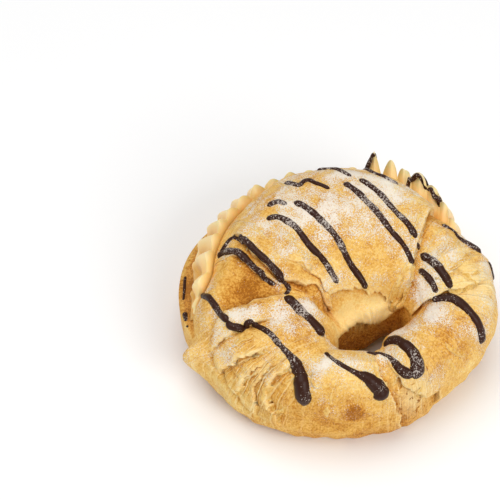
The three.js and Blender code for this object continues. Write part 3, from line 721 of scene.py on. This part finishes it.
def make_pastry():
    points, values = pastry_grid()
    mesh, column, row = spun_tube("pastry_crust", *points.shape[:2], closed=True)
    return finish_piece(mesh, points[column, row], {k: v[column, row] for k, v in values.items()})


def custard_wall(around, side, deep):
    """Points of the custard along a cut face, a small gap away from it."""
    r, z = cut_face(around, side, deep)
    return ring_point(np.full_like(r, around), r, z - side * CUSTARD_GAP)


def custard_ring(phase, fade):
    """One section of the custard, as points in mm, and how much painted shade each gets, most in the
    valleys and by the pastry.
    """
    around, tall, bulge, blunt = (np.interp(phase, range(len(RIDGES)), part) for part in zip(*RIDGES))
    off_crest = 2 * abs(phase - round(phase))
    peak = tall * (1 - (1 - RIDGE_MERGE * blunt) * off_crest ** blunt)
    crest = 1 - np.sin(np.pi / 2 * off_crest) ** (0.4 + 0.6 * blunt)
    open_ = slit_open(around)
    ribbon = smooth((around - RIBBON_FROM) / RIBBON_SPAN)
    set_in = CUSTARD_SET_IN + RIBBON_SET_IN * ribbon
    deep = CUSTARD_FACE_END * (1 - np.arange(CUSTARD_FACE_ROWS) / CUSTARD_FACE_ROWS) + set_in
    lower = custard_wall(around, -1, deep)
    up = np.linspace(0, 1, CUSTARD_OUTER_ROWS + 1)
    turn = around + RIDGE_LEAN * (up - 0.5) * fade
    low_r, low_z = cut_face(turn, -1, set_in)
    high_r, high_z = cut_face(turn, 1, 0.0)
    piped = smooth((up - CUSTARD_SHELF) / 0.25) * (0.4 + 0.6 * smooth((1 - up) / 0.4)) * fade * open_
    lift = peak * smooth((up - 0.4) / 0.6) * fade * open_
    swell = np.sin(np.pi * np.minimum(up * 1.1, 1)) * bulge * open_
    folded = 0.6 * np.exp(-((up - 0.85) / 0.12) ** 2) - np.exp(-((up - 0.6) / 0.1) ** 2)
    out = swell + RIDGE_DEPTH * (crest - 0.35) * piped + RIBBON_DEPTH * ribbon * folded * open_
    r = lerp(low_r, high_r + 2.4 * open_, up) + out
    z = lerp(low_z + CUSTARD_GAP, high_z - CUSTARD_GAP + 1.5 * open_, up) + lift
    outer = ring_point(turn, r, z)
    lip_r, lip_z = cut_face(np.array([around]), 1, 0.0)
    tuck = ring_point(np.array([around]), lip_r + CUSTARD_GAP, lip_z - 1.6 * CUSTARD_GAP)
    deep = CUSTARD_FACE_END * np.arange(CUSTARD_FACE_ROWS) / CUSTARD_FACE_ROWS + 0.1
    upper = custard_wall(around, 1, deep)
    # Painted shade, as the valley value: deep in the valleys between ridges, in the ribbon's groove and low
    # part, and on the faces by the pastry.
    shaded = np.exp(-((up - 0.6) / 0.12) ** 2) + 0.7 * (1 - smooth((up - 0.4) / 0.2))
    valley_shade = np.clip(0.9 * (1 - crest) * piped + ribbon * shaded, 0, 1)
    valley_shade = np.concatenate([np.full(len(lower), 0.7), valley_shade, np.full(len(tuck) + len(upper), 0.7)])
    return np.concatenate([lower, outer, tuck, upper]), valley_shade


def make_custard():
    count = (len(RIDGES) - 1) * RIDGE_STEPS
    fades = [smooth(min(c, count - c) / (2 * RIDGE_STEPS)) for c in range(count + 1)]
    sections = [custard_ring(c / RIDGE_STEPS, fade) for c, fade in enumerate(fades)]
    points, valley_shade = (np.array(part) for part in zip(*sections))
    mesh, column, row = spun_tube("piped_custard", *points.shape[:2], closed=False)
    moved = points[column, row]
    moved = moved + 0.12 * grain(moved, 5.0, 31)[..., None]
    return finish_piece(mesh, moved, {"valley_shade": valley_shade[column, row]})


def through(share, values):
    """Smooth open curve through values at whole numbers."""
    padded = np.concatenate([[2 * values[0] - values[1]], values, [2 * values[-1] - values[-2]]])
    i = np.minimum(np.floor(share).astype(int), len(values) - 2)
    return cubic(share - i, *(padded[i + k] for k in range(4)))


def first_hit(surfaces, start, direction):
    """First place, in metres, that a ray meets on any of the surfaces, or none."""
    hits = [surface.ray_cast(start, direction) for surface in surfaces]
    met = [hit for hit in hits if hit[0] is not None]
    return min(met, key=lambda hit: hit[3])[0] if met else None


def cast_on(around, over, surfaces):
    """Outermost place on the surfaces at these angles, square to the plain section, and its direction."""
    r, z, out_r, out_z = outward(around, over)
    turn = math.radians(around)
    out = Vector((out_r * math.cos(turn), out_r * math.sin(turn), out_z))
    start = Vector((HOLE_X + r * math.cos(turn), HOLE_Y + r * math.sin(turn), z)) + Vector(RING_PLACE)
    return first_hit(surfaces, (start + out * CAST_FROM) * MM, -out), out


def drop_on(around, out, surfaces):
    """Highest place on the surfaces straight below a point so far out from the upper lip, and up."""
    reach = cut_face(np.array([around]), 1, 0.0)[0] + out
    x, y = (ring_point(np.array([around]), reach, np.zeros(1))[0] + RING_PLACE)[:2]
    up = Vector((0, 0, 1))
    return first_hit(surfaces, Vector((x, y, CUSTARD_CAST_HEIGHT)) * MM, -up), up


def lay_line(marks, surfaces, cast):
    """Points along a line of marks laid on the surfaces, evenly spaced, with the directions outwards."""
    marks = np.array(marks, float).reshape(-1, 2)
    share = np.linspace(0, len(marks) - 1, LINE_SAMPLES * len(marks))
    laid, outs = [], []
    for first, second in zip(through(share, marks[:, 0]), through(share, marks[:, 1])):
        place, out = cast(first, second, surfaces)
        if place is not None:
            laid.append(place)
            outs.append(out)
    laid, outs = np.array(laid), np.array(outs)
    run = np.concatenate([[0], np.cumsum(np.linalg.norm(np.diff(laid, axis=0), axis=1))])
    steps = max(4, int(run[-1] / (DRIZZLE_STEP * MM)))
    even = np.linspace(0, run[-1], steps + 1)
    return [
        np.stack([np.interp(even, run, part[:, axis]) for axis in range(3)], -1) for part in (laid, outs)]


def flake_grid():
    """Round sheet as places from -1 to 1 across and along, by rounding off a square grid."""
    line = np.linspace(-1, 1, FLAKE_CELLS + 1)
    across, along = np.meshgrid(line, line, indexing="ij")
    far = np.maximum(np.abs(across), np.abs(along))
    length = np.maximum(np.hypot(across, along), 1e-6)
    return across * far / length, along * far / length, far


def flake(rng, patch, number, surface):
    """One thin ragged sheet lifted off the crust along one side, as points and values, or none."""
    across, along, far = flake_grid()
    at_around, at_over = rng.uniform(*patch[:2]), rng.uniform(*patch[2:])
    length, width = rng.uniform(*FLAKE_LENGTH) / 2, rng.uniform(*FLAKE_WIDTH) / 2
    tilt, toasted, side = rng.normal(0, 0.25), rng.uniform(0.3, 0.5), rng.choice((-1, 1))
    edge = np.stack([across * width, along * length, np.full_like(far, 9.0 * number)], -1)
    ragged = 1 + 0.3 * grain(edge, 3.2, 51) + 0.12 * grain(edge, 1.3, 52)
    x, y = across * width * ragged, along * length * ragged
    x, y = x * math.cos(tilt) - y * math.sin(tilt), x * math.sin(tilt) + y * math.cos(tilt)
    reach = max(float(wall(at_around, np.array(at_over))[0]), LEAST_FLAKE_REACH)
    around = at_around + np.degrees(x / reach)
    over = at_over + np.degrees(y / FLAKE_SECTION)
    rise = FLAKE_RISE * smooth((side * across + 0.2) / 1.2) * rng.uniform(0.4, 1.0) - FLAKE_SINK
    sheet = lay_sheet(around, over, rise + 0.25 * grain(edge, 3.0, 53), surface)
    if sheet is None:
        return None
    return {
        "points": sheet,
        "toast_and_painted_light": toasted + 0.1 * grain(edge, 2.0, 54),
        "pale": 0.5 * far ** 14,
        "dust": sugar_amount(sheet, around, over),
        "flaky": np.full_like(far, 0.3),
        "crumb": np.zeros_like(far),
        "wrap": wrap_place(around, over)}


def make_flakes(pastry):
    surface = [BVHTree.FromObject(pastry, bpy.context.evaluated_depsgraph_get())]
    rng = np.random.default_rng(FLAKE_SEED)
    flakes = []
    bm = bmesh.new()
    for count, *patch in FLAKE_PATCHES:
        for _ in range(count):
            made = flake(rng, patch, len(flakes), surface)
            if made is not None:
                flakes.append(made)
                bmesh.ops.create_grid(bm, x_segments=FLAKE_CELLS, y_segments=FLAKE_CELLS, size=1.0)
    mesh = mesh_from(bm, "loose_flakes")
    place = np.round((vertex_places(mesh)[:, :2] + 1) / 2 * FLAKE_CELLS).astype(int)
    number = np.arange(len(place)) // (FLAKE_CELLS + 1) ** 2
    pick = (number, place[:, 0], place[:, 1])
    values = {name: np.array([made[name] for made in flakes])[pick] for name in flakes[0]}
    piece = finish_piece(mesh, values.pop("points"), values)
    sheet = piece.modifiers.new("thickness", "SOLIDIFY")
    sheet.thickness = FLAKE_THICKNESS * MM
    sheet.offset = -1.0
    return piece


def lay_sheet(around, over, rise, surface):
    """Points of a sheet laid on the crust, so far above it in mm; none where the crust isn't met."""
    points = np.empty(around.shape + (3,))
    for index in np.ndindex(around.shape):
        place, out = cast_on(around[index], over[index], surface)
        if place is None:
            return None
        points[index] = np.array(place) / MM - RING_PLACE + rise[index] * np.array(out)
    return points


def line_radius(number, count, start_width, end_width):
    """Radius in mm along a line of chocolate, a little uneven and rounded at both ends."""
    share = np.linspace(0, 1, count)
    beads = flat_place(share * count * DRIZZLE_STEP, 13.0 * number)
    width = lerp(start_width, end_width, smooth((share - 0.35) / 0.5))
    width = width * (1 + 0.16 * grain(beads, 5.0, 41) + 0.08 * grain(beads, 2.2, 42))
    from_end = np.minimum(share, 1 - share) * count * DRIZZLE_STEP
    rounded = np.clip(from_end / (DRIP_ROUND * width), 0, 1)
    return width / 2 * np.sqrt(np.clip(1 - (1 - rounded) ** 2, 0.02, 1))


def drizzle_curve(pastry, custard):
    """Every line of chocolate as one curve with its thickness."""
    depsgraph = bpy.context.evaluated_depsgraph_get()
    crust, filling = ([BVHTree.FromObject(piece, depsgraph)] for piece in (pastry, custard))
    curve = bpy.data.curves.new("drizzle_lines", "CURVE")
    curve.dimensions = "3D"
    curve.bevel_depth = MM
    curve.bevel_resolution = 4
    curve.use_fill_caps = True
    lines = [(item, crust, cast_on, CRUST_SMOOTHING) for item in DRIZZLE]
    lines += [(item, crust, drop_on, DROP_SMOOTHING) for item in SMEARS]
    lines += [(item, filling, drop_on, DROP_SMOOTHING) for item in CUSTARD_DRIZZLE]
    for number, ((start_width, end_width, *marks), below, cast, passes) in enumerate(lines):
        line, outs = lay_line(marks, below, cast)
        for _ in range(passes):
            line[1:-1] = 0.5 * line[1:-1] + 0.25 * (line[:-2] + line[2:])
        count = len(line)
        radius = line_radius(number, count, start_width, end_width)
        spline = curve.splines.new("POLY")
        spline.points.add(count - 1)
        line = line + DRIZZLE_LIFT * radius[:, None] * MM * outs
        spline.points.foreach_set("co", np.column_stack([line, np.ones(count)]).ravel())
        spline.points.foreach_set("radius", radius)
    return curve


def make_chocolate(pastry, custard):
    holder = add_object("drizzle_lines", drizzle_curve(pastry, custard))
    mesh = bpy.data.meshes.new_from_object(holder.evaluated_get(bpy.context.evaluated_depsgraph_get()))
    bpy.data.objects.remove(holder)
    mesh.name = "chocolate_drizzle"
    mesh.materials.clear()
    for polygon in mesh.polygons:
        polygon.use_smooth = True
    return add_object("chocolate_drizzle", mesh)


class Paint:
    """A material, with short ways to add its nodes."""

    def __init__(self, name):
        self.material = bpy.data.materials.new(name)
        self.material.use_nodes = True
        self.coords = self.add("TexCoord", {}, "Object")

    def fill(self, node, inputs):
        """Links each input to a value from another node, or sets it to a number, vector or colour."""
        for name, value in inputs.items():
            if isinstance(value, bpy.types.NodeSocket):
                self.material.node_tree.links.new(value, node.inputs[name])
            else:
                node.inputs[name].default_value = value

    def add(self, kind, inputs, output, **settings):
        """A new node's output."""
        node = self.material.node_tree.nodes.new("ShaderNode" + kind)
        for name, value in settings.items():
            setattr(node, name, value)
        self.fill(node, inputs)
        return node.outputs[output]

    def finish(self, inputs):
        """The material, once its shader has these inputs."""
        self.fill(self.material.node_tree.nodes["Principled BSDF"], inputs)
        return self.material

    def noise(self, scale, detail=4.0, roughness=0.55, seed=0.0, at=None):
        inputs = {"W": seed, "Scale": scale, "Detail": detail, "Roughness": roughness}
        inputs["Vector"] = self.coords if at is None else at
        return self.add("TexNoise", inputs, "Fac", noise_dimensions="4D")

    def math(self, operation, a, b, clamp=False):
        return self.add("Math", {0: a, 1: b}, 0, operation=operation, use_clamp=clamp)

    def total(self, start, *parts):
        """A value with others added to it, each times an amount."""
        for part, amount in parts:
            start = self.math("ADD", start, self.math("MULTIPLY", part, amount))
        return start

    def ease(self, value, low, high, to_low=0.0, to_high=1.0):
        """A value carried smoothly from one range to another."""
        inputs = {"Value": value, "From Min": low, "From Max": high, "To Min": to_low, "To Max": to_high}
        return self.add("MapRange", inputs, "Result", interpolation_type="SMOOTHSTEP")

    def ramp(self, value, stops):
        output = self.add("ValToRGB", {"Fac": value}, "Color")
        elements = output.node.color_ramp.elements
        while len(elements) < len(stops):
            elements.new(0.5)
        for element, (place, colour) in zip(elements, stops):
            element.position = place
            element.color = (*colour, 1)
        return output

    def mix(self, share, a, b):
        return self.add("Mix", {"Factor": share, 6: a, 7: b}, 2, data_type="RGBA")

    def attribute(self, name, output="Fac"):
        return self.add("Attribute", {}, output, attribute_name=name)

    def stretched(self, vector, stretch):
        return self.add("VectorMath", {0: vector, 1: stretch}, "Vector", operation="MULTIPLY")

    def along(self, vector, axis):
        return self.add("SeparateXYZ", {0: vector}, axis)

    def layers(self, wrap, flaky, pitch, seed):
        """Thin overlapping layers, edges over the section: height, broken edge and shaded foot."""
        drawn_out = self.stretched(wrap, (1.0, 0.3, 1.0))
        wander = self.noise(0.3 / pitch, 3.0, 0.5, seed, drawn_out)
        ragged = self.noise(RAGGED_SCALE, 3.0, 0.6, seed)
        field = self.math("MULTIPLY", self.along(wrap, "X"), 1 / pitch)
        share = self.math("FRACT", self.total(field, (wander, 4.0), (ragged, 0.25)), 0.0)
        shown = self.ease(self.noise(0.35 / pitch, 2.0, 0.5, seed + 3, drawn_out), 0.36, 0.48)
        shown = self.math("MULTIPLY", shown, flaky)
        height = self.math("MULTIPLY", share, self.ease(share, 0.9, 0.99, 1.0, 0.0))
        edge = self.ease(share, 0.78, 0.86)
        edge = self.math("MULTIPLY", edge, self.ease(share, 0.93, 0.98, 1.0, 0.0))
        foot = self.ease(share, 0.0, 0.2, 1.0, 0.0)
        return [self.math("MULTIPLY", part, shown) for part in (height, edge, foot)]


def crust_material():
    paint = Paint("baked_crust")
    wrap, flaky = paint.attribute("wrap", "Vector"), paint.attribute("flaky")
    mottle = paint.math("SUBTRACT", paint.noise(MOTTLE_SCALE, 4.0, 0.6), 0.5)
    patches = paint.math("SUBTRACT", paint.noise(PATCH_SCALE, 3.0, 0.6), 0.5)
    speckle = paint.ease(paint.noise(SPECKLE_SCALE, 3.0, 0.65), 0.36, 0.64, -0.5, 0.5)
    streak = paint.noise(0.7, 4.0, 0.6, at=paint.stretched(wrap, (1.0, 0.2, 1.0)))
    streak = paint.math("MULTIPLY", paint.math("SUBTRACT", streak, 0.5), flaky)
    wide, wide_edge, wide_foot = paint.layers(wrap, flaky, WIDE_LAYER, 1)
    thin, thin_edge, thin_foot = paint.layers(wrap, flaky, THIN_LAYER, 2)
    pores = paint.ease(paint.noise(PORE_SCALE, 2.0, 0.5), 0.58, 0.68)
    pores = paint.math("MULTIPLY", pores, paint.attribute("crumb"))
    # Painted shade: the feet of the layers and the pores come out darker, and the pores less pale.
    toast_and_painted_light = paint.total(
        paint.attribute("toast_and_painted_light"), (mottle, 0.65), (patches, 0.55), (speckle, 0.35), (streak, 0.6),
        (pores, 0.5), (wide_foot, 0.35), (thin_foot, 0.3))
    pale = paint.total(paint.attribute("pale"), (wide_edge, 0.9), (thin_edge, 0.9))
    pale = paint.math("SUBTRACT", pale, pores, True)
    layered = paint.mix(pale, paint.ramp(toast_and_painted_light, CRUST_STOPS), PALE_LAYER)
    drift = paint.math("SUBTRACT", paint.attribute("dust"), 0.5)
    level = paint.total(paint.noise(POWDER_SCALE, 2.0, 0.8), (drift, 0.34))
    sugar = paint.ease(level, 0.5, 0.57, 0.0, 0.82)
    height = paint.total(
        paint.math("MULTIPLY", pores, -1.2), (wide, 1.0), (thin, 0.5), (mottle, 0.6), (patches, 0.5),
        (streak, 0.8), (speckle, 0.15), (sugar, 0.2))
    bump = paint.add("Bump", {"Strength": 0.7, "Distance": 0.0008, "Height": height}, "Normal")
    return paint.finish({
        "Base Color": paint.mix(sugar, layered, SUGAR), "Normal": bump, "Roughness": 0.6,
        "Specular IOR Level": 0.12, "Subsurface Weight": 0.1, "Subsurface Radius": (1.0, 0.75, 0.5),
        "Subsurface Scale": 0.0015})


def custard_material():
    paint = Paint("set_custard")
    cloud = paint.noise(CUSTARD_CLOUD, 3.0)
    # Painted shade deepens the colour towards the valleys, with a cloudy change of tone.
    level = paint.total(paint.attribute("valley_shade"), (cloud, 0.4))
    return paint.finish({
        "Base Color": paint.ramp(level, CUSTARD_STOPS), "Roughness": 0.4, "Subsurface Weight": 0.3,
        "Subsurface Radius": (1.0, 0.6, 0.25), "Subsurface Scale": 0.004})


def chocolate_material():
    paint = Paint("dark_chocolate")
    powder = paint.noise(CHOCOLATE_POWDER, 2.0, 0.8)
    cloud = paint.noise(CHOCOLATE_CLOUD, 3.0)
    high = paint.ease(paint.along(paint.coords, "Z"), SUGARED_FROM, SUGARED_TO)
    level = paint.total(powder, (cloud, 0.7), (high, 0.045))
    sugar = paint.ease(level, 0.96, 1.03, 0.0, 0.85)
    colour = paint.mix(sugar, CHOCOLATE, SUGAR_ON_CHOCOLATE)
    return paint.finish({"Base Color": colour, "Roughness": 0.4, "Specular IOR Level": 0.2})


def floor_material():
    paint = Paint("pale_floor")
    cloud = paint.noise(3.0, 2.0)
    return paint.finish({"Base Color": paint.ramp(cloud, FLOOR_STOPS), "Roughness": 0.9})


def dress(piece, material, *nodes):
    piece.data.materials.append(material)
    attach(piece, "root")
    if nodes:
        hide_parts(*nodes)


def make_floor():
    bm = bmesh.new()
    bmesh.ops.create_grid(bm, x_segments=1, y_segments=1, size=FLOOR_HALF)
    floor = add_object("floor", mesh_from(bm, "floor"))
    floor.data.materials.append(floor_material())


def make_light(name, place, target, size, power):
    lamp = bpy.data.lights.new(name, "AREA")
    lamp.size = size
    lamp.energy = power
    light = add_object(name, lamp)
    light.location = place
    light.rotation_euler = (Vector(target) - Vector(place)).to_track_quat("-Z", "Y").to_euler()


def make_lights():
    world = bpy.data.worlds.new("studio")
    bpy.context.scene.world = world
    world.use_nodes = True
    background = world.node_tree.nodes["Background"]
    background.inputs["Color"].default_value = (1, 1, 1, 1)
    background.inputs["Strength"].default_value = WORLD_STRENGTH
    for light in LIGHTS:
        make_light(*light)


def make_camera():
    right = Vector((1, 0, 0))
    up = Vector((0, math.sin(CAMERA_RISE), math.cos(CAMERA_RISE)))
    back = Vector((0, -math.cos(CAMERA_RISE), math.sin(CAMERA_RISE)))
    aim = Vector(RING_PLACE) + right * CAMERA_AIM_RIGHT + up * CAMERA_AIM_UP
    data = bpy.data.cameras.new("camera")
    data.lens = CAMERA_LENS
    data.sensor_width = SENSOR_WIDTH
    camera = add_object("camera", data)
    camera.location = (aim + back * CAMERA_DISTANCE) * MM
    camera.rotation_euler = back.to_track_quat("Z", "Y").to_euler()
    bpy.context.scene.camera = camera


def main():
    bpy.context.scene.view_settings.view_transform = "Standard"
    pastry = make_pastry()
    dress(pastry, crust_material(), "pastry")
    flakes = make_flakes(pastry)
    dress(flakes, pastry.data.materials[0])
    custard = make_custard()
    dress(custard, custard_material(), "custard")
    chocolate = make_chocolate(pastry, custard)
    dress(chocolate, chocolate_material())
    make_floor()
    make_lights()
    make_camera()


main()
